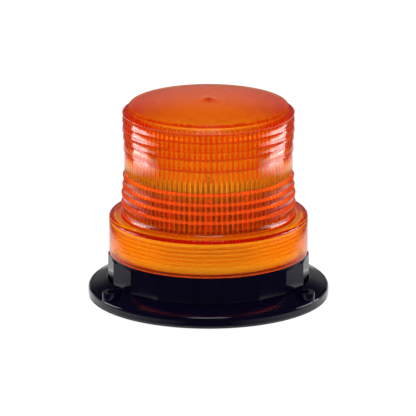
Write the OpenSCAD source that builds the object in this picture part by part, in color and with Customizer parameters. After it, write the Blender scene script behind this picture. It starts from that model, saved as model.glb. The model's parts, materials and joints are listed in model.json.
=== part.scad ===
// Screw-down LED warning beacon: a black round base with three bolt bosses and
// an amber ribbed lens that unscrews from a threaded collar.
// Millimetres, +Z up, origin at the centre of the underside, front towards -Y.

/* [Base] */
// Diameter of the mounting flange
flange_d = 150; // [146:1:156]
// Height of the flange's vertical edge above the surface
flange_edge_h = 4.5; // [4:0.5:5]
// Height of the raised lip and of the boss tops
flange_lip_h = 11.2; // [10.5:0.1:12]
// Diameter of the circle through the three mounting bolts
bolt_circle_d = 138; // [137:0.5:138.5]
// Diameter of the mounting bolt holes, for M5
bolt_hole_d = 5.5; // [5.2:0.1:6]
// Number of mounting bolts
bolt_count = 3; // [3:1:3]
// Thickness of the foot gasket
gasket_t = 1.5; // [1:0.25:2]

/* [Housing] */
// Number of flat grip faces round the housing
facet_count = 18; // [12:2:24]
// Radius to the corners of the grip faces
facet_r = 62.6; // [62:0.1:62.7]
// Height of the top of the grip faces
facet_top_z = 26.1; // [25:0.1:26.5]
// Height of the housing rim that the lens closes on
rim_z = 28; // [27.5:0.1:28]
// Radius of the housing rim
rim_r = 61.5; // [61:0.1:61.7]

/* [Lens] */
// Overall height of the beacon
total_h = 125.5; // [124:0.5:128]
// Outer radius of the lens skirt
skirt_r = 61.8; // [61.5:0.1:62]
// Height of the shelf on top of the skirt
shelf_z = 51.9; // [51.5:0.1:52.5]
// Radius and height of the sharp edges of the upper rings, from the top down
upper_rings = [[53.4, 116.6], [53.4, 111.7], [53.4, 105.8], [53.0, 101.0], [52.8, 93.8]];
// Radius and height of the crests of the lower rings, from the top down
lower_rings = [[53.2, 77.3], [53.5, 71.1], [54.1, 66.0], [54.2, 60.0]];
// Depth of the steps between the upper rings
upper_step = 1.2; // [0.8:0.1:1.4]
// How far the faces of the upper rings stand out in their middle
upper_bow = 0.1; // [0:0.05:0.4]
// Depth of the steps between the lower rings
lower_step = 1.4; // [1:0.1:1.6]
// Thickness of the lens wall
lens_wall = 2.6; // [2.4:0.1:2.8]

/* [Lens thread] */
// Rise of the lens for each turn
thread_pitch = 2.7; // [2.6:0.1:3]
// Turns of thread inside the lens skirt
lens_turns = 5; // [4:0.5:5]
// Turns of thread on the collar
collar_turns = 3; // [2:0.5:3]
// Height of the thread ridges
thread_h = 1.1; // [0.9:0.1:1.2]

/* [Lamp] */
// Number of flat sides of the heat sink, one LED strip on each
tower_sides = 12; // [12:1:12]
// Distance of each side from the centre line
tower_flat_r = 42; // [40:0.5:42]
// Height of the top of the heat sink
tower_top_z = 80; // [78:0.5:84]
// LEDs on each strip
leds_per_strip = 3; // [2:1:4]

/* [Hidden] */
$fn = 96;

slip = 0.1;                 // gap all round a part that drops into place
snug = 0.05;                // gap all round a plug in its hole

// Flange
flange_r = flange_d / 2;
seat_z = 5.5;               // floor that the housing stands on
seat_r = facet_r + 0.3;
lip_w = 0.5;
boss_r = flange_r - bolt_circle_d / 2 - 0.1;
edge_round_in = 2.5;        // how far the rounded edge comes in
edge_round_up = 2.8;        // and how far it goes up
gasket_r = flange_r - 0.4;
gasket_in_r = 56;
cable_hole_r = 6;

// Housing
floor_z = 8.5;
cavity_r = 53;
collar_seat_z = 22;
collar_r = 57.6;
post_r = 4;
vent_r = 3;
post_ring_r = 48.5;
flange_post_top_z = 17;
flange_post_turn = 60;      // the flange screws stand between the collar screws

// Lens
lens_lift = 0.15;           // the lens rests this far above the rim
skirt_in_r = skirt_r - lens_wall;
shelf_round = 1.6;
dome_in_foot_r = 50.9;
dome_in_top_r = 49;
dome_in_top_z = 117.3;
dome_edge_r = 48;           // where the domed top meets the rounded edge
dome_edge_z = 121.9;
dome_rise = 3.45;
gate_r = 2.75;              // moulding mark in the middle of the top
edge_round = 1.95;
step_drop = 0.1;            // how far the steps slope down inwards
bulge_foot = [51.75, 79];
bulge_out = 0.7;
seal_r = 0.8;
seal_ring_r = 59.6;
seal_z = rim_z + lens_lift + 0.15 + seal_r;
seal_space = 0.3;

// Thread
thread_base_w = 1.0;
thread_tip_w = 0.6;
thread_segments = 48;
collar_top_z = 48.7;
collar_thread_z = collar_top_z - 0.7 - collar_turns * thread_pitch;
lens_thread_z = collar_thread_z - 2.5 * thread_pitch;    // ridges meet halfway between turns
thread_bury = 0.5;

// Collar and reflector plate
collar_in_r = 54.4;
collar_flange_in_r = 43;
collar_flange_t = 3;
pillar_r = 3.4;
pillar_ring_r = 47.5;
plate_t = 2.4;
plate_z = collar_top_z - plate_t;
wire_hole_r = 5;
wire_ring_r = 11;
wire_r = 0.9;

// Electronics
standoff_ring_r = 36;
board_z = floor_z + 5.5;
board_t = 1.6;
board_r = 42;
board_top_z = board_z + board_t;
parts_z = board_top_z;      // components stand on the board
fuse_x = -32;
fuse_r = 2.6;

// Lamp
tower_z = collar_top_z;
tower_in_r = 36.5;
port_r = 3.4;
port_ring_r = 34.6;
port_count = 4;
cap_t = 2;
pad_w = 15;
pad_h = 25;
pad_t = 0.5;
strip_w = 17;
strip_h = 28;
strip_t = 1.2;
strip_mid_z = (tower_z + tower_top_z) / 2;
led_w = 5;
led_t = 1.2;
led_gap = 8.4;
dome_r = 1.9;
strip_face_r = tower_flat_r + pad_t + strip_t;

// ---------------------------------------------------------------- helpers

// n copies round the centre line, the first one turned by start from the front
module around(n, start = 0) {
    for (i = [0 : n - 1]) rotate([0, 0, start + i * 360 / n]) children();
}

// moves out to radius r towards the front
module out(r) {
    translate([0, -r, 0]) children();
}

module ring(z0, z1, r_in, r_out) {
    translate([0, 0, z0]) difference() {
        cylinder(r = r_out, h = z1 - z0);
        translate([0, 0, -1]) cylinder(r = r_in, h = z1 - z0 + 2);
    }
}

module disc(z0, z1, r) {
    translate([0, 0, z0]) cylinder(r = r, h = z1 - z0);
}

module block(x, y, z0, z1, w, d) {
    translate([x - w / 2, y - d / 2, z0]) cube([w, d, z1 - z0]);
}

// pan-head screw with its head's underside at z = 0, pointing down
module pan_screw(shank_r, length, head_r, head_h) {
    translate([0, 0, -length]) cylinder(r = shank_r, h = length);
    difference() {
        cylinder(r = head_r, h = head_h);
        translate([-head_r * 0.62, -head_h * 0.13, head_h * 0.5])
            cube([head_r * 1.24, head_h * 0.26, head_h]);
        translate([-head_h * 0.13, -head_r * 0.62, head_h * 0.5])
            cube([head_h * 0.26, head_r * 1.24, head_h]);
    }
}

// points of a bow from a to b that stands out by h in its middle, without b
function bow(a, b, h, n) = [for (i = [0 : n - 1]) let (t = i / n)
    [a[0] + (b[0] - a[0]) * t + h * 4 * t * (1 - t), a[1] + (b[1] - a[1]) * t]];

// points of a quarter-round from angle a0 to a1 about centre c
function arc(c, r, a0, a1, n) = [for (i = [0 : n]) let (a = a0 + (a1 - a0) * i / n)
    [c[0] + r * cos(a), c[1] + r * sin(a)]];

// One corner of the ridge's section at step i of a helix, k = 0..3.
// The ridge grows over its first eighth of a turn and fades over its last.
function ridge_point(i, steps, wall_r, out_dir, z0, k) =
    let (turn = i * 360 / thread_segments,
         fade = min(1, min(i, steps - i) * 8 / thread_segments),
         tip = k == 1 || k == 2,
         r = tip ? wall_r + out_dir * (thread_h * fade - 0.1 * (1 - fade))
                 : wall_r - out_dir * thread_bury,
         side = (k < 2 ? -1 : 1) * (tip ? thread_tip_w : thread_base_w) / 2,
         z = z0 + thread_pitch * turn / 360 + side)
    [r * cos(turn), r * sin(turn), z];

// helical thread ridge; out_dir is 1 for a ridge that stands outwards
module thread_ridge(turns, wall_r, out_dir, z0) {
    steps = turns * thread_segments;
    points = [for (i = [0 : steps]) for (k = [0 : 3])
        ridge_point(i, steps, wall_r, out_dir, z0, k)];
    flip = out_dir > 0;
    sides = [for (i = [0 : steps - 1]) for (k = [0 : 3])
        let (a = 4 * i + k, b = 4 * i + (k + 1) % 4)
        for (f = [[a, a + 4, b], [b, a + 4, b + 4]]) flip ? [f[0], f[2], f[1]] : f];
    last = 4 * steps;
    caps = [[0, 1, 2], [0, 2, 3], [last + 2, last + 1, last], [last + 3, last + 2, last]];
    polyhedron(points, concat(sides, [for (f = caps) flip ? [f[0], f[2], f[1]] : f]),
        convexity = 10);
}

// ---------------------------------------------------------------- base

module base_gasket() {
    color("#1a1a1c") difference() {
        ring(0, gasket_t, gasket_in_r, gasket_r);
        around(bolt_count, 60) out(bolt_circle_d / 2)
            disc(-1, gasket_t + 1, bolt_hole_d / 2 + 0.2);
    }
}

flange_outline = concat(
    [[0, gasket_t], [flange_r, gasket_t], [flange_r, flange_edge_h]],
    [for (a = [15 : 15 : 75])
        [flange_r - edge_round_in * (1 - cos(a)), flange_edge_h + edge_round_up * sin(a)]],
    [[flange_r - edge_round_in, flange_edge_h + edge_round_up],
     [seat_r + lip_w, flange_lip_h - 0.2], [seat_r + lip_w - 0.15, flange_lip_h],
     [seat_r, flange_lip_h], [seat_r, seat_z], [0, seat_z]]);

screw_head_r = 3.6;
screw_head_h = 2.2;

module mounting_flange() {
    color("#111014") difference() {
        union() {
            rotate_extrude() polygon(flange_outline);
            around(bolt_count, 60) out(bolt_circle_d / 2)
                disc(gasket_t, flange_lip_h, boss_r);
        }
        disc(seat_z, flange_lip_h + 1, seat_r);
        around(bolt_count, 60) out(bolt_circle_d / 2)
            disc(0, flange_lip_h + 1, bolt_hole_d / 2);
        disc(0, seat_z + 1, cable_hole_r);
        at_vent() disc(0, seat_z + 1, vent_r / 2);
        around(3, flange_post_turn) out(post_ring_r) {
            disc(0, gasket_t + screw_head_h + 0.3, screw_head_r + 0.3);
            disc(0, seat_z + 1, 2.2);
        }
    }
}

module at_vent() {
    rotate([0, 0, 20]) out(30) children();
}

module housing_screws() {
    color("silver") around(3, flange_post_turn) out(post_ring_r)
        translate([0, 0, gasket_t + screw_head_h + 0.3]) mirror([0, 0, 1])
            pan_screw(1.95, 11, screw_head_r, screw_head_h);
}

// ---------------------------------------------------------------- housing

module facet_prism(z0, z1) {
    translate([0, 0, z0]) linear_extrude(z1 - z0)
        polygon([for (i = [0 : facet_count - 1]) let (a = 90 + (i + 0.5) * 360 / facet_count)
            [facet_r * cos(a), facet_r * sin(a)]]);
}

module lamp_housing() {
    color("#111014") difference() {
        union() {
            difference() {
                union() {
                    facet_prism(seat_z, facet_top_z);
                    disc(seat_z, rim_z, rim_r);
                }
                disc(floor_z, rim_z + 1, cavity_r);
                disc(collar_seat_z, rim_z + 1, collar_r + slip);
            }
            around(3) out(post_ring_r) disc(floor_z - 1, collar_seat_z - 0.1, post_r);
            around(3, flange_post_turn) out(post_ring_r)
                disc(floor_z - 1, flange_post_top_z, post_r);
        }
        around(3) out(post_ring_r) disc(collar_seat_z - 10, rim_z, 1.5);
        around(3, flange_post_turn) out(post_ring_r) disc(seat_z - 1, flange_post_top_z - 1.5, 2);
        disc(seat_z - 1, floor_z + 1, cable_hole_r);
        at_vent() disc(seat_z - 1, floor_z + 1, vent_r);
    }
}

module cable_grommet() {
    color("#202022") difference() {
        union() {
            disc(0.3, gasket_t, 9);
            disc(gasket_t, floor_z, cable_hole_r - snug);
            disc(floor_z, floor_z + 2, 8.5);
            translate([0, 0, floor_z + 2]) cylinder(r1 = 6.5, r2 = 5, h = 3);
        }
        disc(-1, floor_z + 6, 3.2);
    }
}

module vent_plug() {
    color("#3a3a3c") at_vent() {
        disc(seat_z, floor_z, vent_r - snug);
        disc(floor_z, floor_z + 1, vent_r + 1.5);
    }
}

// ---------------------------------------------------------------- electronics

module board_standoffs() {
    color("goldenrod") around(4, 45) out(standoff_ring_r) difference() {
        translate([0, 0, floor_z]) cylinder(r = 3.4, h = board_z - floor_z, $fn = 6);
        disc(floor_z + 1, board_z + 1, 1.5);
    }
}

module driver_board() {
    color("darkgreen") difference() {
        disc(board_z, board_top_z, board_r);
        around(4, 45) out(standoff_ring_r) disc(board_z - 1, board_top_z + 1, 1.7);
        disc(board_z - 1, board_top_z + 1, 8);
    }
}

module board_screws() {
    color("silver") around(4, 45) out(standoff_ring_r)
        translate([0, 0, board_top_z]) pan_screw(1.45, 4.5, 2.8, 1.8);
}

module terminal_block() {
    color("#2f6f46") difference() {
        block(0, -22, parts_z, parts_z + 10, 15, 9);
        for (x = [-5, 0, 5]) {
            block(x, -25.5, parts_z + 1.5, parts_z + 5, 3.6, 6);
            translate([x, -21, parts_z + 7]) cylinder(r = 1.7, h = 4);
        }
    }
}

module filter_capacitors() {
    color("#22304f") for (x = [-9, 9]) translate([x, 27, parts_z]) {
        cylinder(r = 5, h = 14);
        translate([0, 0, 14]) cylinder(r = 4.4, h = 0.5);
    }
}

module power_inductor() {
    color("#3b3b3e") translate([-24, -8, parts_z]) {
        cylinder(r = 6, h = 1.5);
        translate([0, 0, 1.5]) cylinder(r = 4, h = 5);
        translate([0, 0, 6.5]) cylinder(r = 6, h = 1.5);
    }
}

module driver_transistors() {
    color("#1c1c1e") for (x = [22, 31]) {
        block(x, 8, parts_z, parts_z + 4.4, 6.6, 6.2);
        block(x, 12.6, parts_z, parts_z + 1.2, 6.6, 3);
    }
}

module bridge_diodes() {
    color("#242426") for (y = [-17, -12, -7, -2]) block(26, y, parts_z, parts_z + 2.4, 6.5, 3);
}

module controller_chip() {
    color("#1c1c1e") block(-13, 12, parts_z, parts_z + 1.6, 5, 6);
}

module chip_resistors() {
    color("#303034") for (i = [0 : 5]) block(-27 + i * 3.2, 0, parts_z, parts_z + 0.7, 1.6, 3.2);
}

module fuse_holder() {
    color("#d8d8d0") for (y = [6, 19]) translate([fuse_x, 0, 0]) difference() {
        block(0, y, parts_z, parts_z + 6, 7, 3);
        translate([0, y - 3, parts_z + 4]) rotate([-90, 0, 0])
            cylinder(r = fuse_r + snug, h = 6);
    }
}

module fuse() {
    color("#c9d4d6") translate([fuse_x, 2.5, parts_z + 4]) rotate([-90, 0, 0])
        cylinder(r = fuse_r, h = 20);
}

// ---------------------------------------------------------------- collar and plate

module threaded_collar() {
    color("#e9e6df") union() {
        difference() {
            union() {
                ring(collar_seat_z, collar_top_z, collar_in_r, collar_r);
                ring(collar_seat_z, collar_seat_z + collar_flange_t,
                    collar_flange_in_r, collar_in_r + 0.5);
                around(4, 45) out(pillar_ring_r)
                    disc(collar_seat_z, plate_z, pillar_r);
            }
            around(3) out(post_ring_r)
                disc(collar_seat_z - 1, collar_seat_z + collar_flange_t + 1, 1.7);
            around(4, 45) out(pillar_ring_r) disc(plate_z - 8, plate_z + 1, 1.5);
        }
        thread_ridge(collar_turns, collar_r, 1, collar_thread_z);
    }
}

module collar_screws() {
    color("silver") around(3) out(post_ring_r)
        translate([0, 0, collar_seat_z + collar_flange_t]) pan_screw(1.45, 10, 2.8, 1.8);
}

module reflector_plate() {
    color("#f2efe8") difference() {
        disc(plate_z, collar_top_z, collar_in_r - slip);
        out(wire_ring_r) disc(plate_z - 1, collar_top_z + 1, wire_hole_r);
        around(4, 45) out(pillar_ring_r) disc(plate_z - 1, collar_top_z + 1, 1.7);
        around(port_count) out(port_ring_r) disc(plate_z - 1, collar_top_z + 1, 1.7);
    }
}

module plate_screws() {
    color("silver") around(4, 45) out(pillar_ring_r)
        translate([0, 0, collar_top_z]) pan_screw(1.45, 8, 2.6, 1.6);
}

module lead_wires() {
    color("firebrick") for (x = [-2, 2]) translate([x, -wire_ring_r, 0])
        disc(parts_z, collar_top_z, wire_r);
}

module link_board() {
    color("darkgreen") ring(collar_top_z, collar_top_z + board_t, 4, 28);
}

// ---------------------------------------------------------------- lamp

module tower_section() {
    difference() {
        union() {
            difference() {
                rotate([0, 0, 180 / tower_sides])
                    circle(r = tower_flat_r / cos(180 / tower_sides), $fn = tower_sides);
                circle(r = tower_in_r);
            }
            around(port_count) out(port_ring_r) circle(r = port_r);
        }
        around(port_count) out(port_ring_r) circle(r = 1.5);
    }
}

module heat_sink_tower() {
    color("#a8a8ac") translate([0, 0, tower_z])
        linear_extrude(tower_top_z - tower_z) tower_section();
}

module tower_screws() {
    color("silver") around(port_count) out(port_ring_r)
        translate([0, 0, plate_z]) mirror([0, 0, 1]) pan_screw(1.45, 8, 2.8, 1.8);
}

module on_each_side() {
    around(tower_sides) children();
}

module thermal_pads() {
    color("#9fb0c0") on_each_side()
        block(0, -tower_flat_r - pad_t / 2, strip_mid_z - pad_h / 2, strip_mid_z + pad_h / 2,
            pad_w, pad_t);
}

module led_boards() {
    color("#6c6863") on_each_side()
        block(0, -tower_flat_r - pad_t - strip_t / 2, strip_mid_z - strip_h / 2,
            strip_mid_z + strip_h / 2, strip_w, strip_t);
}

module at_each_led() {
    on_each_side() for (i = [0 : leds_per_strip - 1])
        translate([0, -strip_face_r, strip_mid_z + (i - (leds_per_strip - 1) / 2) * led_gap])
            children();
}

module led_packages() {
    color("#e8e4d8") at_each_led() translate([-led_w / 2, -led_t, -led_w / 2])
        cube([led_w, led_t, led_w]);
}

module led_domes() {
    color("#ffd070") at_each_led() translate([0, -led_t, 0]) difference() {
        sphere(r = dome_r, $fn = 32);
        translate([-3, 0, -3]) cube([6, 6, 6]);
    }
}

module tower_cap() {
    color("#bcb9b2") difference() {
        translate([0, 0, tower_top_z]) rotate([0, 0, 180 / tower_sides])
            cylinder(r = tower_flat_r / cos(180 / tower_sides), h = cap_t, $fn = tower_sides);
        around(port_count) out(port_ring_r) disc(tower_top_z - 1, tower_top_z + cap_t + 1, 1.7);
    }
}

module cap_screws() {
    color("silver") around(port_count) out(port_ring_r)
        translate([0, 0, tower_top_z + cap_t]) pan_screw(1.45, 8, 2.8, 1.8);
}

// ---------------------------------------------------------------- lens

module lens_seal() {
    color("#1a1a1c") translate([0, 0, seal_z]) rotate_extrude()
        translate([seal_ring_r, 0]) circle(r = seal_r, $fn = 24);
}

// outer line of the lens from the centre of its top down to the foot of the dome
function top_z(r) = dome_edge_z + dome_rise * (1 - pow(r / dome_edge_r, 2));
top_line = concat([[0, total_h], [gate_r, total_h], [gate_r + 0.3, top_z(gate_r)]],
    [for (i = [1 : 6]) let (r = dome_edge_r * i / 6) [r, top_z(r)]],
    arc([dome_edge_r, dome_edge_z - edge_round], edge_round, 78, 8, 4));

upper_lines = [for (i = [0 : len(upper_rings) - 2]) let (a = upper_rings[i], b = upper_rings[i + 1])
    each concat([a], bow([b[0] - upper_step, a[1] - step_drop], b, upper_bow, 2))];
last_upper = upper_rings[len(upper_rings) - 1];
bulge_line = concat([last_upper],
    bow([last_upper[0] - upper_step, last_upper[1] - step_drop], bulge_foot, bulge_out, 7));

// each lower ring: up its sloped flank to the crest, then straight in to the next flank
lower_lines = [for (p = lower_rings) each [[p[0] - lower_step, p[1] + lower_step + 0.2], p]];
foot_line = [[53.4, 55.6], [53.6, 53.9], [54.6, 52.6], [56.8, shelf_z]];
skirt_edge = arc([skirt_r - shelf_round, shelf_z - shelf_round], shelf_round, 90, 0, 6);

lens_bottom_z = rim_z + lens_lift;
seal_pocket_r = seal_ring_r + seal_r + seal_space;
seal_pocket_z = seal_z + seal_r + seal_space;
shelf_under_z = shelf_z - lens_wall;
inside_top_z = total_h - lens_wall - 0.3;
lens_inside = concat(
    [[skirt_r, lens_bottom_z], [seal_pocket_r, lens_bottom_z],
     [seal_pocket_r, seal_pocket_z], [skirt_in_r, seal_pocket_z],
     [skirt_in_r, shelf_under_z], [dome_in_foot_r, shelf_under_z],
     [dome_in_top_r, dome_in_top_z], [dome_in_top_r - 0.7, dome_in_top_z + 1.3],
     [dome_in_top_r - 2.4, dome_in_top_z + 1.9]],
    [for (i = [3 : -1 : 0]) let (r = 10 * i) [r, inside_top_z - dome_rise * pow(r / dome_edge_r, 2)]]);

module amber_lens() {
    color("#f07818") union() {
        rotate_extrude() polygon(concat(top_line, upper_lines, bulge_line,
            lower_lines, foot_line, skirt_edge, lens_inside));
        thread_ridge(lens_turns, skirt_in_r, -1, lens_thread_z);
    }
}

base_gasket();
mounting_flange();
housing_screws();
lamp_housing();
cable_grommet();
vent_plug();
board_standoffs();
driver_board();
board_screws();
terminal_block();
filter_capacitors();
power_inductor();
driver_transistors();
bridge_diodes();
controller_chip();
chip_resistors();
fuse_holder();
fuse();
threaded_collar();
collar_screws();
reflector_plate();
plate_screws();
lead_wires();
link_board();
heat_sink_tower();
tower_screws();
thermal_pads();
led_boards();
led_packages();
led_domes();
tower_cap();
cap_screws();
lens_seal();
amber_lens();
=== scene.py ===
import json
import math

import bmesh
import bpy
import numpy as np
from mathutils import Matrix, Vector


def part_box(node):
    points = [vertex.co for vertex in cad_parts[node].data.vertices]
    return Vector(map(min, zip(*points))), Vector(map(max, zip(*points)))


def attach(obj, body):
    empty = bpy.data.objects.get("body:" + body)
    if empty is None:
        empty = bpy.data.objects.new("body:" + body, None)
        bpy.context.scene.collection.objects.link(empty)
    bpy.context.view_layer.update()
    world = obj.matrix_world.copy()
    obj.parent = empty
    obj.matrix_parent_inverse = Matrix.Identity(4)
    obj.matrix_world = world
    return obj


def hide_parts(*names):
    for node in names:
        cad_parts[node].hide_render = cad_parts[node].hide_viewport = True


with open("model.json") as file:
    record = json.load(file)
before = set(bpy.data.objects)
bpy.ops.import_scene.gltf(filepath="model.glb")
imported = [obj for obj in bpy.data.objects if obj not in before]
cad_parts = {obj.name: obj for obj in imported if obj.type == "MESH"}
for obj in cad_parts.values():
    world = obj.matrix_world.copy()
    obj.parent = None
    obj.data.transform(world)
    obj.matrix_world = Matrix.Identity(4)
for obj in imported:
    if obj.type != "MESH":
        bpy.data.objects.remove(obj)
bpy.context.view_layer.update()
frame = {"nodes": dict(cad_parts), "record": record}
MM = 0.001
TAU = 2 * math.pi

# ---------------------------------------------------------------- shape sizes, millimetres

TOP_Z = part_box("amber_lens")[1][2] / MM
SKIRT_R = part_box("amber_lens")[1][0] / MM
LENS_BASE_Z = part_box("amber_lens")[0][2] / MM

# radius and height of the sharp edges of the lens rings, from the top down
UPPER_RINGS = [(53.4, 116.6), (53.4, 111.7), (53.4, 105.8), (53.0, 101.0), (52.8, 93.8)]
LOWER_RINGS = [(53.2, 77.3), (53.5, 71.1), (54.1, 66.0), (54.2, 60.0)]
UPPER_STEP = 1.2
UPPER_BOW = 0.3
LOWER_STEP = 1.4
SHELF_Z = 51.9
SKIRT_IN_R = 59.2
INNER_WALL_R = 51.2
THREAD_TOP_Z = 48.5
MOULDING_EDGE = 0.5

FLUTES = 96
FLUTE_H = 0.9
# places across one flute, as shares of its pitch, and how high the bead stands there
FLUTE_SHAPE = [(0.27, 0.0), (0.34, 0.62), (0.44, 0.97), (0.56, 0.97), (0.66, 0.62), (0.73, 0.0)]
# heights of the rows of the fluted wall, and heights with shares of painted shade on the low wall and the
# top of the dome's inside
FLUTE_ROWS = [63.0, 73.0, 77.0, 85.0, 86.5, 101.5, 116.5]
LOW_WALL_Z = [52.5, 53.2, 73.0, 77.0, 85.0, 86.5, 117.5, 119.2]
LOW_WALL_PAINTED_SHADE = [0.0, 1.0, 1.0, 0.5, 0.5, 0.0, 0.0, 0.07]
# the band where the beads get little painted red glow, and how much they get there
PALE_BEAD_Z = (76.0, 86.0)
PALE_BEAD_PAINTED_GLOW = 0.3

THREAD_PITCH = 2.7
THREAD_TURNS = 5
THREAD_H = 1.1
THREAD_START_Z = 31.8
# places along one pitch of thread, as shares of the pitch, and how high the ridge stands there
THREAD_SHAPE = [(0.0, 0.0), (0.31, 0.0), (0.39, 1.0), (0.61, 1.0), (0.69, 0.0)]


# ---------------------------------------------------------------- mesh helpers


def new_object(name, mesh):
    ob = bpy.data.objects.new(name, mesh)
    bpy.context.scene.collection.objects.link(ob)
    return ob


def finish_mesh(name, bm, sharp_degrees=32):
    """An object from bm, in metres, smooth but for edges sharper than sharp_degrees."""
    bmesh.ops.recalc_face_normals(bm, faces=bm.faces)
    bmesh.ops.scale(bm, vec=(MM, MM, MM), verts=bm.verts)
    mesh = bpy.data.meshes.new(name)
    bm.to_mesh(mesh)
    bm.free()
    mesh.polygons.foreach_set("use_smooth", [True] * len(mesh.polygons))
    mesh.set_sharp_from_angle(angle=math.radians(sharp_degrees))
    return new_object(name, mesh)


def bow(a, b, out, steps):
    """Points from a to b, without b, that stand out by `out` halfway."""
    points = []
    for i in range(steps):
        t = i / steps
        points.append((a[0] + (b[0] - a[0]) * t + out * 4 * t * (1 - t), a[1] + (b[1] - a[1]) * t))
    return points


def arc(centre, radius, start, end, steps):
    """Points on an arc from start to end, in degrees."""
    angles = [math.radians(start + (end - start) * i / steps) for i in range(steps + 1)]
    return [(centre[0] + radius * math.cos(a), centre[1] + radius * math.sin(a)) for a in angles]


# ---------------------------------------------------------------- amber lens


def crest(ring):
    """The rounded lower edge of one of the upper rings, then its flat underside."""
    r, z = ring
    return [(r - 0.08, z + 0.62), (r, z + 0.36), (r - 0.05, z + 0.17),
            (r - 0.2, z + 0.03), (r - 0.4, z)]


def lens_outer_line():
    """The lens outline from the edge of the gate mark down to the skirt's foot."""
    line = [(0.9, TOP_Z), (1.3, TOP_Z - 0.35), (2.4, TOP_Z - 0.4),
            (2.75, TOP_Z - 0.12), (3.1, TOP_Z - 0.18)]
    dome_r, dome_z, rise = 48.0, 121.9, 3.45
    for i in range(1, 7):
        r = 3.1 + (dome_r - 3.1) * i / 6
        line.append((r, dome_z + rise * (1 - (r / dome_r) ** 2)))
    line += arc((47.9, 119.95), 1.95, 78, 8, 6)
    line += [(50.15, 119.75), (53.15, 117.1), (53.34, 116.85)]
    for above, below in zip(UPPER_RINGS, UPPER_RINGS[1:]):
        line += crest(above)
        head = (below[0] - UPPER_STEP, above[1] - 0.02)
        line += bow(head, (below[0] - 0.08, below[1] + 0.62), UPPER_BOW, 4)
    last = UPPER_RINGS[-1]
    line += crest(last)
    first_z = LOWER_RINGS[0][1] + LOWER_STEP + 0.2
    line += bow((last[0] - 1.2, last[1] - 0.02), (51.75, first_z + 0.15), 0.7, 8)
    line += [(51.75, first_z + 0.15), (51.8, first_z)]
    for ring, after in zip(LOWER_RINGS, LOWER_RINGS[1:] + [(54.6, 53.5)]):
        line += [(ring[0] - 0.2, ring[1] + 0.28), ring, (ring[0] - 0.02, ring[1] - 0.25)]
        foot = (after[0] - LOWER_STEP, after[1] + LOWER_STEP + 0.2)
        line += bow((ring[0] - 0.1, ring[1] - 0.6), (foot[0] - 0.03, foot[1] + 0.15), 0.12, 3)
        line += [(foot[0] - 0.03, foot[1] + 0.15), foot]
    line += [(53.3, 53.6), (53.6, 52.7), (54.1, 52.2), (54.8, SHELF_Z + 0.03), (56.8, SHELF_Z)]
    line += arc((SKIRT_R - 1.6, SHELF_Z - 1.6), 1.6, 90, 0, 4)
    line += [(SKIRT_R, LENS_BASE_Z + 3.0), (SKIRT_R, LENS_BASE_Z + 0.12), (SKIRT_R - 0.12, LENS_BASE_Z)]
    return line


def lens_foot_line():
    """From the skirt's foot, round the seal pocket, up to the start of the thread."""
    return [(60.8, LENS_BASE_Z), (60.7, LENS_BASE_Z + 0.15), (60.7, 30.05), (60.55, 30.2),
            (59.4, 30.2), (SKIRT_IN_R, 30.4)]


def lens_inner_line():
    """From above the thread up to the middle of the dome's inside: radius, height, share of flute."""
    line = [(SKIRT_IN_R, 48.7, 0), (59.0, 49.15, 0), (58.6, 49.3, 0), (52.2, 49.3, 0), (51.4, 49.6, 0),
            (51.1, 50.4, 0), (50.95, 52.4, 0), (50.92, 53.2, 1)]
    line += [(50.92 - 0.03 * (z - 53.2), z, 1) for z in FLUTE_ROWS]
    line += [(48.95, 117.3, 0.2), (48.7, 118.0, 0), (47.9, 118.75, 0), (46.6, 119.2, 0)]
    for r in (38.0, 28.0, 18.0, 9.0, 3.0):
        line.append((r, 119.25 + 3.3 * (1 - (r / 46.6) ** 2), 0))
    return line


def flute_columns():
    """Angle and bead height of every column round the lens."""
    pitch = TAU / FLUTES
    columns = [((k + place) * pitch, height) for k in range(FLUTES) for place, height in FLUTE_SHAPE]
    return np.array([c[0] for c in columns]), np.array([c[1] for c in columns])


def thread_rows(angles):
    """Rows of the thread strip, which climb by one pitch round the lens."""
    rows = []
    per_turn = len(THREAD_SHAPE)
    for j in range(THREAD_TURNS * per_turn + 1):
        turn, step = divmod(j, per_turn)
        place, height = THREAD_SHAPE[step]
        wound = turn + angles / TAU
        ends = np.clip(np.minimum(wound, THREAD_TURNS - wound) * 8, 0, 1)
        radius = SKIRT_IN_R - THREAD_H * height * ends
        rows.append((radius, THREAD_START_Z + THREAD_PITCH * (wound + place)))
    return rows


def lens_painted_tints(radius, height, bead):
    """Fitted painted tints of the plastic at a point: shares of painted shade at the steps, painted shade
    on the low wall and painted red glow at the edges.
    """
    if radius < INNER_WALL_R:
        # painted shade on the inside of the low wall; the beads get painted red glow, less of it in the
        # pale band
        low = float(np.interp(height, LOW_WALL_Z, LOW_WALL_PAINTED_SHADE))
        pale = PALE_BEAD_Z[0] < height < PALE_BEAD_Z[1]
        return 0.0, low * (1 - bead), bead * (PALE_BEAD_PAINTED_GLOW if pale else 1.0)
    # painted shade: a dark line on the flat underside of each upper ring's crest
    step = float(any(z - 0.1 < height < z + 0.1 and radius < r - 0.1 for r, z in UPPER_RINGS))
    # painted red glow on the lower rings' flanks, the thread ridges and the skirt's foot
    flank = any(z - 0.1 < height < z + LOWER_STEP + 0.25 for r, z in LOWER_RINGS)
    ridge = height < THREAD_TOP_Z and radius < SKIRT_IN_R - 0.5
    foot = height < LENS_BASE_Z + 0.5 and radius > SKIRT_R - 0.5
    return step, 0.0, max(float(flank), 0.35 * ridge, float(foot))


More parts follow.
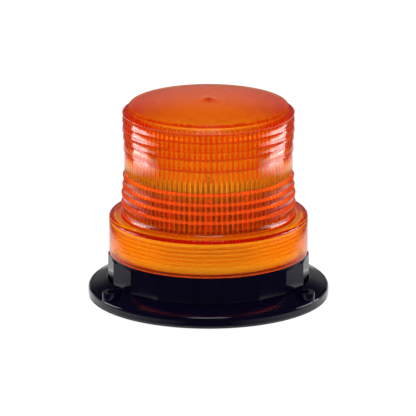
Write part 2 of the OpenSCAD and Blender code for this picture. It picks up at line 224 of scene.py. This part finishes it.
def amber_lens():
    angles, beads = flute_columns()
    count = len(angles)
    outer = [(np.full(count, r), np.full(count, z)) for r, z in lens_outer_line() + lens_foot_line()]
    thread = thread_rows(angles)
    inner = [(r - FLUTE_H * share * beads, np.full(count, z)) for r, z, share in lens_inner_line()]
    rows = outer + thread + inner
    bead_share = [0.0] * (len(outer) + len(thread)) + [share for r, z, share in lens_inner_line()]

    bm = bmesh.new()
    # per-vertex shares of painted shade and painted red glow for the lens material
    painted_tints = bm.verts.layers.float_color.new("painted_tints")
    grid = []
    for (radius, height), share in zip(rows, bead_share):
        x, y = radius * np.cos(angles), radius * np.sin(angles)
        verts = [bm.verts.new(v) for v in zip(x, y, height)]
        for vert, bead in zip(verts, beads * share):
            vert[painted_tints] = (*lens_painted_tints(radius[0], height[0], bead), 1)
        grid.append(verts)
    top = bm.verts.new((0, 0, TOP_Z))
    inside_top = bm.verts.new((0, 0, 122.6))
    ends = count - 1
    first, last = len(outer), len(outer) + len(thread) - 1
    per_turn = len(THREAD_SHAPE)
    for j in range(len(grid) - 1):
        a, b = grid[j], grid[j + 1]
        for i in range(ends):
            bm.faces.new((a[i], a[i + 1], b[i + 1], b[i]))
        if j < first - 1 or j >= last + 1:
            bm.faces.new((a[ends], a[0], b[0], b[ends]))
    # the strip closes on itself one pitch higher
    for j in range(first, last - per_turn):
        bm.faces.new((grid[j][ends], grid[j + per_turn][0], grid[j + per_turn + 1][0], grid[j + 1][ends]))
    below = [grid[first - 1][ends], grid[first - 1][0]]
    bm.faces.new(below + [grid[first + k][0] for k in range(per_turn + 1)] + [grid[first][ends]])
    above = [grid[last + 1][0], grid[last + 1][ends]]
    bm.faces.new(above + [grid[last - k][ends] for k in range(per_turn + 1)] + [grid[last][0]])
    for i in range(count):
        after = (i + 1) % count
        bm.faces.new((top, grid[0][i], grid[0][after]))
        bm.faces.new((inside_top, grid[-1][after], grid[-1][i]))
    ob = finish_mesh("amber_lens_moulding", bm, 24)
    ob.data.materials.append(amber_plastic())
    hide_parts("amber_lens")
    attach(ob, "lens")
    return ob


# ---------------------------------------------------------------- materials


class Shader:
    """A material's node tree, built with short calls."""

    def __init__(self, name):
        self.material = bpy.data.materials.new(name)
        self.material.use_nodes = True
        self.tree = self.material.node_tree
        self.tree.nodes.clear()
        self.output = self.node("ShaderNodeOutputMaterial")

    def node(self, kind, **values):
        node = self.tree.nodes.new(kind)
        for key, value in values.items():
            setattr(node, key, value)
        return node

    def link(self, source, target):
        self.tree.links.new(source, target)

    def place(self):
        return self.node("ShaderNodeTexCoord").outputs["Object"]

    def noise(self, scale, detail=2.0, roughness=0.5, vector=None):
        node = self.node("ShaderNodeTexNoise")
        node.inputs["Scale"].default_value = scale
        node.inputs["Detail"].default_value = detail
        node.inputs["Roughness"].default_value = roughness
        self.link(vector or self.place(), node.inputs["Vector"])
        return node.outputs["Fac"]

    def ramp(self, value, low, high, to_low, to_high):
        node = self.node("ShaderNodeMapRange")
        node.inputs["From Min"].default_value = low
        node.inputs["From Max"].default_value = high
        node.inputs["To Min"].default_value = to_low
        node.inputs["To Max"].default_value = to_high
        self.link(value, node.inputs["Value"])
        return node.outputs["Result"]

    def maths(self, operation, *values):
        node = self.node("ShaderNodeMath", operation=operation)
        for i, value in enumerate(values):
            if isinstance(value, (int, float)):
                node.inputs[i].default_value = value
            else:
                self.link(value, node.inputs[i])
        return node.outputs[0]

    def mix_colour(self, value, a, b):
        node = self.node("ShaderNodeMix", data_type="RGBA")
        self.link(value, node.inputs["Factor"])
        node.inputs["A"].default_value = (*a, 1)
        node.inputs["B"].default_value = (*b, 1)
        return node.outputs["Result"]

    def deepen(self, colour, share, tint):
        """The colour times the tint, where share is 1."""
        node = self.node("ShaderNodeMix", data_type="RGBA", blend_type="MULTIPLY")
        self.link(share, node.inputs["Factor"])
        self.link(colour, node.inputs["A"])
        node.inputs["B"].default_value = (*tint, 1)
        return node.outputs["Result"]

    def bump(self, height, strength, distance):
        node = self.node("ShaderNodeBump")
        if isinstance(strength, float):
            node.inputs["Strength"].default_value = strength
        else:
            self.link(strength, node.inputs["Strength"])
        node.inputs["Distance"].default_value = distance
        self.link(height, node.inputs["Height"])
        return node.outputs["Normal"]

    def principled(self, **values):
        node = self.node("ShaderNodeBsdfPrincipled")
        for key, value in values.items():
            node.inputs[key.replace("_", " ")].default_value = value
        self.link(node.outputs["BSDF"], self.output.inputs["Surface"])
        return node


def frosted_underside(s):
    """Strength of the fine grain: strong on the inside of the lens top, hardly any elsewhere."""
    square = s.node("ShaderNodeVectorMath", operation="MULTIPLY")
    for side in (0, 1):
        s.link(s.place(), square.inputs[side])
    split, spread = s.node("ShaderNodeSeparateXYZ"), s.node("ShaderNodeSeparateXYZ")
    s.link(s.place(), split.inputs[0])
    s.link(square.outputs["Vector"], spread.inputs[0])
    reach = s.maths("ADD", spread.outputs["X"], spread.outputs["Y"])
    flat_height = s.maths("MULTIPLY_ADD", reach, 1.5, split.outputs["Z"])
    below_top = s.maths("LESS_THAN", flat_height, 0.1238)
    near_top = s.maths("GREATER_THAN", split.outputs["Z"], 0.1181)
    return s.maths("MULTIPLY_ADD", s.maths("MULTIPLY", below_top, near_top), 0.5, 0.004)


def amber_plastic():
    """Amber polycarbonate: it absorbs light; painted shade darkens its low wall and the steps under its
    rings, and painted red glow lies on its beads, lower ring flanks, thread and foot.
    """
    s = Shader("amber_polycarbonate")
    p = s.principled(IOR=1.585, Roughness=0.09, Transmission_Weight=1.0)
    painted_tints = s.node("ShaderNodeVertexColor", layer_name="painted_tints")
    split = s.node("ShaderNodeSeparateColor")
    s.link(painted_tints.outputs["Color"], split.inputs[0])
    clear = s.mix_colour(s.noise(90, 3), (1.0, 0.97, 0.93), (1.0, 0.93, 0.86))
    # painted shade from the green share: a light darkening on the dome's inside top and over the low
    # wall, and a deep red-brown shade on the lowest part of the wall
    shade = s.deepen(clear, s.ramp(split.outputs["Green"], 0, 0.5, 0, 1), (0.72, 0.5, 0.7))
    low = s.deepen(shade, s.ramp(split.outputs["Green"], 0.5, 1, 0, 1), (0.75, 0.12, 0.7))
    # painted red glow from the blue share: beads, lower ring flanks, thread ridges and the skirt's foot
    painted_red_glow = s.deepen(low, s.ramp(split.outputs["Blue"], 0.25, 0.45, 0, 1), (0.9, 0.11, 0.008))
    # painted shade from the red share: dark lines under the upper rings' crests
    steps = s.deepen(painted_red_glow, s.ramp(split.outputs["Red"], 0, 0.15, 0, 1), (0.55, 0.07, 0.01))
    s.link(steps, p.inputs["Base Color"])
    # where the red glow and the dark lines are painted, up to a third of the plastic turns diffuse so
    # that their painted colour shows
    edges = s.maths("MAXIMUM", s.ramp(split.outputs["Blue"], 0.45, 0.9, 0, 1),
                    s.ramp(split.outputs["Red"], 0.15, 0.5, 0, 1))
    s.link(s.maths("MULTIPLY_ADD", edges, -0.34, 1.0), p.inputs["Transmission Weight"])
    s.link(s.bump(s.noise(1800, 2), frosted_underside(s), 0.0004), p.inputs["Normal"])
    through = s.node("ShaderNodeBsdfTransparent")
    through.inputs["Color"].default_value = (0.98, 0.62, 0.12, 1)
    path = s.node("ShaderNodeLightPath")
    mix = s.node("ShaderNodeMixShader")
    s.link(path.outputs["Is Shadow Ray"], mix.inputs[0])
    s.link(p.outputs["BSDF"], mix.inputs[1])
    s.link(through.outputs["BSDF"], mix.inputs[2])
    s.link(mix.outputs["Shader"], s.output.inputs["Surface"])
    body = s.node("ShaderNodeVolumeAbsorption")
    body.inputs["Color"].default_value = (0.997, 0.825, 0.15, 1)
    body.inputs["Density"].default_value = 900
    s.link(body.outputs["Volume"], s.output.inputs["Volume"])
    return s.material


def mottled(name, dark, light, rough_low, rough_high, grain, bump, **values):
    """A solid material whose colour, shine and surface vary with noise of the given grain."""
    s = Shader(name)
    p = s.principled(**values)
    s.link(s.mix_colour(s.noise(grain, 4), dark, light), p.inputs["Base Color"])
    s.link(s.ramp(s.noise(grain * 0.35, 5), 0.3, 0.7, rough_low, rough_high), p.inputs["Roughness"])
    s.link(s.bump(s.noise(grain * 4, 3), bump, 0.0002), p.inputs["Normal"])
    return s.material


def black_plastic():
    return mottled("black_polycarbonate", (0.0008, 0.0005, 0.004), (0.0016, 0.0011, 0.006),
                   0.07, 0.15, 220, 0.03, IOR=1.38)


SLOT_MATERIALS = {
    "black_shell": black_plastic,
    "gasket_rubber": lambda: mottled("moulded_rubber", (0.012, 0.012, 0.013), (0.03, 0.03, 0.032),
                                     0.55, 0.8, 500, 0.3),
    "vent_plastic": lambda: mottled("vent_plastic", (0.04, 0.04, 0.045), (0.07, 0.07, 0.075),
                                    0.4, 0.6, 400, 0.15),
    "screw_steel": lambda: mottled("zinc_steel", (0.5, 0.5, 0.52), (0.72, 0.72, 0.74),
                                   0.22, 0.42, 700, 0.2, Metallic=1.0),
    "standoff_brass": lambda: mottled("turned_brass", (0.6, 0.4, 0.12), (0.85, 0.62, 0.24),
                                      0.2, 0.38, 600, 0.15, Metallic=1.0),
    "circuit_board": lambda: mottled("solder_mask", (0.008, 0.09, 0.03), (0.02, 0.17, 0.06),
                                     0.25, 0.45, 900, 0.2),
    "terminal_green": lambda: mottled("terminal_plastic", (0.03, 0.24, 0.1), (0.06, 0.33, 0.15),
                                      0.4, 0.55, 500, 0.1),
    "capacitor_sleeve": lambda: mottled("shrink_sleeve", (0.02, 0.035, 0.1), (0.04, 0.06, 0.16),
                                        0.25, 0.4, 500, 0.1),
    "component_black": lambda: mottled("epoxy_package", (0.014, 0.014, 0.016), (0.03, 0.03, 0.032),
                                       0.5, 0.7, 900, 0.25),
    "fuse_clip": lambda: mottled("ivory_plastic", (0.62, 0.6, 0.52), (0.76, 0.74, 0.66),
                                 0.4, 0.55, 500, 0.1),
    "fuse_glass": lambda: mottled("fuse_tube", (0.7, 0.78, 0.8), (0.85, 0.9, 0.92),
                                  0.05, 0.12, 300, 0.02),
    "cap_plastic": lambda: mottled("grey_moulding", (0.42, 0.41, 0.38), (0.5, 0.49, 0.46),
                                   0.35, 0.5, 300, 0.08),
    "white_plastic": lambda: mottled("white_moulding", (0.74, 0.71, 0.64), (0.84, 0.82, 0.76),
                                     0.35, 0.5, 300, 0.08),
    "wire_red": lambda: mottled("wire_insulation", (0.36, 0.02, 0.02), (0.5, 0.04, 0.035),
                                0.35, 0.5, 500, 0.1),
    "heat_sink_metal": lambda: mottled("clear_anodising", (0.5, 0.5, 0.51), (0.6, 0.6, 0.61),
                                       0.4, 0.55, 800, 0.2, Metallic=0.7),
    "thermal_pad": lambda: mottled("silicone_pad", (0.3, 0.38, 0.45), (0.4, 0.5, 0.58),
                                   0.6, 0.8, 600, 0.2),
    "led_board": lambda: mottled("metal_core_board", (0.36, 0.33, 0.31), (0.44, 0.41, 0.38),
                                 0.35, 0.5, 900, 0.2),
    "led_ceramic": lambda: mottled("led_ceramic", (0.66, 0.63, 0.54), (0.8, 0.77, 0.68),
                                   0.4, 0.6, 700, 0.1),
    "led_silicone": lambda: mottled("led_silicone", (0.85, 0.5, 0.08), (0.95, 0.62, 0.15),
                                    0.08, 0.16, 700, 0.05),
}


def finish_nodes(kept_out):
    """Gives every CAD node that stays its procedural material."""
    made = {}
    slots = {part["node"]: part["material_slot"] for part in frame["record"]["subparts"]}
    for name, ob in frame["nodes"].items():
        slot = slots[name]
        if name in kept_out or slot not in SLOT_MATERIALS:
            continue
        if slot not in made:
            made[slot] = SLOT_MATERIALS[slot]()
        for place in ob.material_slots:
            place.material = made[slot]


def soften_edges(name, width):
    """Rounds the sharp edges of a CAD node by a small moulding radius, in millimetres."""
    ob = frame["nodes"][name]
    flat = ob.modifiers.new("flat_faces", "DECIMATE")
    flat.decimate_type = "DISSOLVE"
    flat.angle_limit = math.radians(1)
    edge = ob.modifiers.new("soft_edges", "BEVEL")
    edge.width = width * MM
    edge.segments = 2
    edge.limit_method = "ANGLE"
    edge.angle_limit = math.radians(35)
    edge.harden_normals = True


# ---------------------------------------------------------------- stage, light and camera


def mirror_rays(tree):
    """1 for rays that were mirrored by a surface, 0 for rays that went through one."""
    path = tree.nodes.new("ShaderNodeLightPath")
    only = tree.nodes.new("ShaderNodeMath")
    only.operation = "SUBTRACT"
    only.use_clamp = True
    tree.links.new(path.outputs["Is Glossy Ray"], only.inputs[0])
    tree.links.new(path.outputs["Is Transmission Ray"], only.inputs[1])
    return only.outputs[0]


def stage_floor():
    """A pale floor: plain to the camera, a brighter glow to other rays, and to mirrored rays a glow that
    varies by place: painted reflections of bright patches and softboxes.
    """
    bm = bmesh.new()
    half = 30.0
    below = -0.0002
    sides = ((-1, -1), (1, -1), (1, 1), (-1, 1))
    bm.faces.new([bm.verts.new((x * half, y * half, below)) for x, y in sides])
    mesh = bpy.data.meshes.new("floor")
    bm.to_mesh(mesh)
    bm.free()
    floor = new_object("floor", mesh)
    s = Shader("pale_floor")
    white = s.node("ShaderNodeBsdfDiffuse")
    white.inputs["Color"].default_value = (0.9, 0.9, 0.9, 1)
    glow = s.node("ShaderNodeEmission")
    glow.inputs["Color"].default_value = (1, 1, 1, 1)
    path = s.node("ShaderNodeLightPath")
    seen = s.maths("MULTIPLY_ADD", path.outputs["Is Camera Ray"], -0.35, 1.35)
    deep = s.maths("MINIMUM", path.outputs["Diffuse Depth"], 1)
    s.link(s.maths("MULTIPLY_ADD", deep, 0.5, seen), glow.inputs["Strength"])
    lit = s.node("ShaderNodeMixShader")
    lit.inputs[0].default_value = 0.9
    s.link(white.outputs["BSDF"], lit.inputs[1])
    s.link(glow.outputs["Emission"], lit.inputs[2])
    mirrored = s.node("ShaderNodeEmission")
    split = s.node("ShaderNodeSeparateXYZ")
    s.link(s.place(), split.inputs[0])
    aside = s.maths("ABSOLUTE", split.outputs["X"])
    aside_squared = s.maths("MULTIPLY", aside, aside)
    back_squared = s.maths("MULTIPLY", split.outputs["Y"], split.outputs["Y"])
    reach = s.maths("POWER", s.maths("ADD", aside_squared, back_squared), 0.5)
    # painted glow seen only in reflections: patches close round the beacon and a ring farther out, mostly
    # behind it, and beside its foot
    far_ring = s.maths("MULTIPLY", s.ramp(reach, 0.26, 0.31, 0.0, 1.0),
                       s.ramp(reach, 0.35, 0.6, 1.0, 0.0))
    painted_glow_by_reach = s.maths("MAXIMUM", s.ramp(reach, 0.18, 0.21, 0.9, 0.06), far_ring)
    painted_glow_behind = s.maths("MULTIPLY", s.ramp(split.outputs["Y"], 0.015, 0.08, 0.03, 0.9), painted_glow_by_reach)
    foot = s.maths("MULTIPLY", s.ramp(reach, 0.09, 0.1, 1.0, 0.0),
                   s.ramp(aside, 0.015, 0.06, 0.0, 1.0))
    beside = s.maths("MULTIPLY", s.ramp(split.outputs["Y"], -0.05, 0.03, 0.0, 0.6),
                     s.ramp(reach, 0.15, 0.18, 1.0, 0.0))
    near = s.maths("MAXIMUM", s.maths("MAXIMUM", painted_glow_behind, foot), beside)
    # a painted image of the side softboxes on the floor, seen only in reflections
    slant = s.maths("DIVIDE", split.outputs["Y"], s.maths("ADD", aside, 0.001))
    window = s.maths("MULTIPLY", s.ramp(slant, -0.4, 0.05, 0.0, 1.0),
                     s.ramp(slant, 0.5, 0.6, 1.0, 0.0))
    softbox_image = s.maths("MULTIPLY", s.ramp(aside, 0.29, 0.8, 0.0, 4.5), window)
    s.link(s.maths("ADD", near, softbox_image), mirrored.inputs["Strength"])
    choose = s.node("ShaderNodeMixShader")
    s.link(mirror_rays(s.tree), choose.inputs[0])
    s.link(lit.outputs["Shader"], choose.inputs[1])
    s.link(mirrored.outputs["Emission"], choose.inputs[2])
    s.link(choose.outputs["Shader"], s.output.inputs["Surface"])
    floor.data.materials.append(s.material)


def studio_world():
    """Even pale light, but dark to mirrors except low down behind the beacon."""
    world = bpy.data.worlds.new("studio")
    bpy.context.scene.world = world
    world.use_nodes = True
    nodes, links = world.node_tree.nodes, world.node_tree.links
    nodes.clear()
    out = nodes.new("ShaderNodeOutputWorld")
    direction = nodes.new("ShaderNodeTexCoord").outputs["Generated"]
    split = nodes.new("ShaderNodeSeparateXYZ")
    links.new(direction, split.inputs[0])

    def ramp(value, low, high, to_low, to_high):
        node = nodes.new("ShaderNodeMapRange")
        node.inputs["From Min"].default_value = low
        node.inputs["From Max"].default_value = high
        node.inputs["To Min"].default_value = to_low
        node.inputs["To Max"].default_value = to_high
        links.new(value, node.inputs["Value"])
        return node.outputs["Result"]

    low_down = ramp(split.outputs["Z"], 0.24, 0.42, 1.0, 0.0)
    behind = ramp(split.outputs["Y"], 0.85, 0.95, 0.0, 1.0)
    both = nodes.new("ShaderNodeMath")
    both.operation = "MULTIPLY"
    links.new(low_down, both.inputs[0])
    links.new(behind, both.inputs[1])
    mirrored = nodes.new("ShaderNodeBackground")
    links.new(ramp(both.outputs[0], 0, 1, 0.02, 0.25), mirrored.inputs["Strength"])
    even = nodes.new("ShaderNodeBackground")
    even.inputs["Color"].default_value = (1, 1, 1, 1)
    path = nodes.new("ShaderNodeLightPath")
    links.new(ramp(path.outputs["Diffuse Depth"], 0, 1, 0.98, 1.7), even.inputs["Strength"])
    choose = nodes.new("ShaderNodeMixShader")
    links.new(mirror_rays(world.node_tree), choose.inputs[0])
    links.new(even.outputs[0], choose.inputs[1])
    links.new(mirrored.outputs[0], choose.inputs[2])
    links.new(choose.outputs[0], out.inputs["Surface"])


def softbox(name, azimuth, elevation, distance, width, height, radiance):
    """A flat light that faces the beacon. Azimuth is counted from the front, to the right."""
    data = bpy.data.lights.new(name, "AREA")
    data.shape = "RECTANGLE"
    data.size, data.size_y = width, height
    data.energy = radiance * math.pi * width * height
    lamp = new_object(name, data)
    a, e = math.radians(azimuth), math.radians(elevation)
    target = Vector((0, 0, 0.06))
    away = Vector((math.sin(a) * math.cos(e), -math.cos(a) * math.cos(e), math.sin(e)))
    lamp.location = target + away * distance
    lamp.rotation_euler = away.to_track_quat("Z", "Y").to_euler()
    lamp.visible_camera = False
    lamp.visible_transmission = False
    return lamp


def studio_lights():
    """A low softbox and an unmirrored fill light on each side, and one softbox over the front."""
    for side, azimuth, width in (("left", -102, 0.58), ("right", 106, 0.7)):
        softbox("softbox_" + side, azimuth, 2.5, 1.1, width, 0.19, 4.5)
        fill = softbox("fill_" + side, azimuth, 11, 1.15, width, 0.42, 6.5)
        fill.visible_glossy = False
    softbox("softbox_top", 0, 75, 1.3, 0.5, 0.25, 4.0)


def photo_camera():
    """A long lens, a little above the beacon."""
    data = bpy.data.cameras.new("camera")
    data.sensor_width = 36
    distance, seen_width = 3.0, 0.2587
    data.lens = data.sensor_width * distance / seen_width
    data.clip_start, data.clip_end = 0.1, 100
    camera = new_object("camera", data)
    tilt = math.radians(16.4)
    aim = Vector((-0.0003, 0, 0.0549))
    back = Vector((0, -math.cos(tilt), math.sin(tilt)))
    camera.location = aim + back * distance
    camera.rotation_euler = back.to_track_quat("Z", "Y").to_euler()
    bpy.context.scene.camera = camera


def colour_management():
    view = bpy.context.scene.view_settings
    view.view_transform = "Standard"
    view.look = "None"


def deep_light_paths():
    """Lets light cross the lens walls and reflect inside them many times before it is given up."""
    cycles = bpy.context.scene.cycles
    cycles.max_bounces = 48
    cycles.transmission_bounces = 48
    cycles.glossy_bounces = 32
    cycles.diffuse_bounces = 6
    bpy.context.scene.world.cycles.sampling_method = "NONE"


photo_camera()
colour_management()
stage_floor()
studio_world()
deep_light_paths()
studio_lights()
amber_lens()
finish_nodes({"amber_lens"})
soften_edges("mounting_flange", MOULDING_EDGE)
soften_edges("lamp_housing", MOULDING_EDGE)
